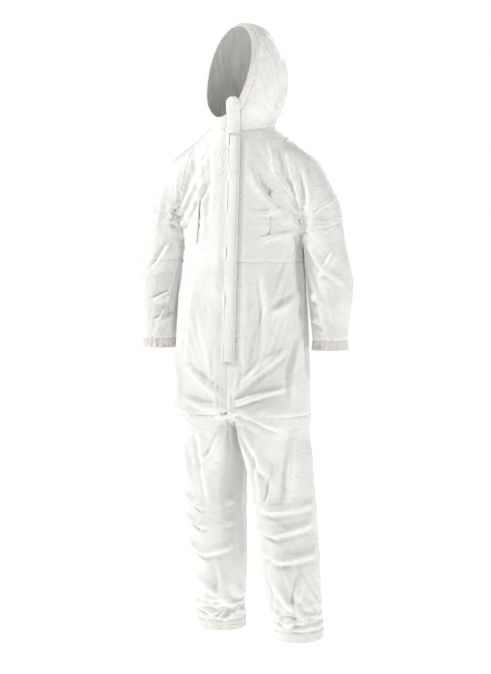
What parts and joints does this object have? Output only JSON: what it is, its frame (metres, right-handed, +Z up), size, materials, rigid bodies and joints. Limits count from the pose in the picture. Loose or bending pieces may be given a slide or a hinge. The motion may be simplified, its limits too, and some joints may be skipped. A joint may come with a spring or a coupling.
{
  "type": "hooded chemical protective coverall",
  "caption": "White hooded chemical protective coverall with storm-flap zip front, jointed sleeves and legs, elastic cuffs and an open face, hanging as worn.",
  "frame": {"origin": "middle of the neck, 10 mm under the middle of the hood's neck seam, where the suit hangs on its wearer", "axes": "+Z up, the wearer faces -Y, the wearer's left is +X; the hood is turned 30 degrees to the wearer's right"},
  "size_m": [0.67, 0.3092, 1.7851],
  "materials": {
    "laminate": "matte",
    "elastic_band": "matte",
    "seam_tape": "satin",
    "adhesive_tape": "satin",
    "label_cloth": "matte",
    "zip_tape": "matte",
    "zip_coil": "gloss",
    "zip_metal": "gloss"
  },
  "bodies": {
    "torso": {"upper_back": "laminate", "upper_front_left": "laminate", "upper_front_right": "laminate", "lower_front_left": "laminate", "lower_front_right": "laminate", "lower_back_left": "laminate", "lower_back_right": "laminate", "crotch_gusset": "laminate", "back_waist_elastic": "elastic_band", "neck_seam_tape": "seam_tape", "neck_label": "label_cloth", "zip_tape_left": "zip_tape", "zip_tape_right": "zip_tape", "zip_coil_left": "zip_coil", "zip_coil_right": "zip_coil", "zip_top_stop": "zip_coil", "zip_bottom_stop": "zip_coil"},
    "hood": {"hood_left_panel": "laminate", "hood_right_panel": "laminate", "hood_face_hem": "laminate", "hood_face_elastic": "elastic_band", "storm_flap_top": "laminate"},
    "storm_flap": {"storm_flap": "laminate", "flap_adhesive_tape": "adhesive_tape"},
    "zip_slider": {"zip_slider": "zip_metal"},
    "zip_pull": {"zip_pull": "zip_metal"},
    "left_upper_arm": {"left_upper_sleeve": "laminate"},
    "left_forearm": {"left_lower_sleeve": "laminate", "left_cuff_hem": "laminate", "left_wrist_elastic": "elastic_band"},
    "left_thigh": {"left_upper_leg": "laminate"},
    "left_shin": {"left_lower_leg": "laminate", "left_leg_hem": "laminate", "left_ankle_elastic": "elastic_band"},
    "right_upper_arm": {"right_upper_sleeve": "laminate"},
    "right_forearm": {"right_lower_sleeve": "laminate", "right_cuff_hem": "laminate", "right_wrist_elastic": "elastic_band"},
    "right_thigh": {"right_upper_leg": "laminate"},
    "right_shin": {"right_lower_leg": "laminate", "right_leg_hem": "laminate", "right_ankle_elastic": "elastic_band"}
  },
  "joints": [
    {"name": "hood_turn", "type": "hinge", "parent": "torso", "child": "hood", "pos_m": [0, 0, 0.01], "axis": [0, -0.2419, 0.9703], "range_deg": [-20, 80]},
    {"name": "storm_flap_open", "type": "hinge", "parent": "torso", "child": "storm_flap", "pos_m": [0.024, -0.12139, -0.34136], "axis": [0, 0.0854, 0.9963], "range_deg": [0, 160]},
    {"name": "zip_slide", "type": "slide", "parent": "torso", "child": "zip_slider", "axis": [0, -0.0854, -0.9963], "range_m": [0, 0.606]},
    {"name": "zip_pull_lift", "type": "hinge", "parent": "zip_slider", "child": "zip_pull", "pos_m": [0, -0.09666, -0.04238], "axis": [-1, 0, 0], "range_deg": [0, 8]},
    {"name": "left_shoulder_swing", "type": "hinge", "parent": "torso", "child": "left_upper_arm", "pos_m": [0.172, 0.014, -0.114], "axis": [-1, 0, 0], "range_deg": [-35, 90]},
    {"name": "left_elbow_bend", "type": "hinge", "parent": "left_upper_arm", "child": "left_forearm", "pos_m": [0.266, 0.014, -0.44], "axis": [-1, 0, 0], "range_deg": [0, 70]},
    {"name": "left_hip_swing", "type": "hinge", "parent": "torso", "child": "left_thigh", "pos_m": [0.10125, -0.00756, -0.81], "axis": [-1, 0, 0], "range_deg": [-25, 25]},
    {"name": "left_knee_bend", "type": "hinge", "parent": "left_thigh", "child": "left_shin", "pos_m": [0.14, 0, -1.14], "axis": [1, 0, 0], "range_deg": [0, 65]},
    {"name": "right_shoulder_swing", "type": "hinge", "parent": "torso", "child": "right_upper_arm", "pos_m": [-0.172, 0.014, -0.114], "axis": [-1, 0, 0], "range_deg": [-35, 90]},
    {"name": "right_elbow_bend", "type": "hinge", "parent": "right_upper_arm", "child": "right_forearm", "pos_m": [-0.266, 0.014, -0.44], "axis": [-1, 0, 0], "range_deg": [0, 70]},
    {"name": "right_hip_swing", "type": "hinge", "parent": "torso", "child": "right_thigh", "pos_m": [-0.10125, -0.00756, -0.81], "axis": [-1, 0, 0], "range_deg": [-25, 25]},
    {"name": "right_knee_bend", "type": "hinge", "parent": "right_thigh", "child": "right_shin", "pos_m": [-0.095, 0.022, -1.14], "axis": [1, 0, 0], "range_deg": [0, 65]}
  ]
}
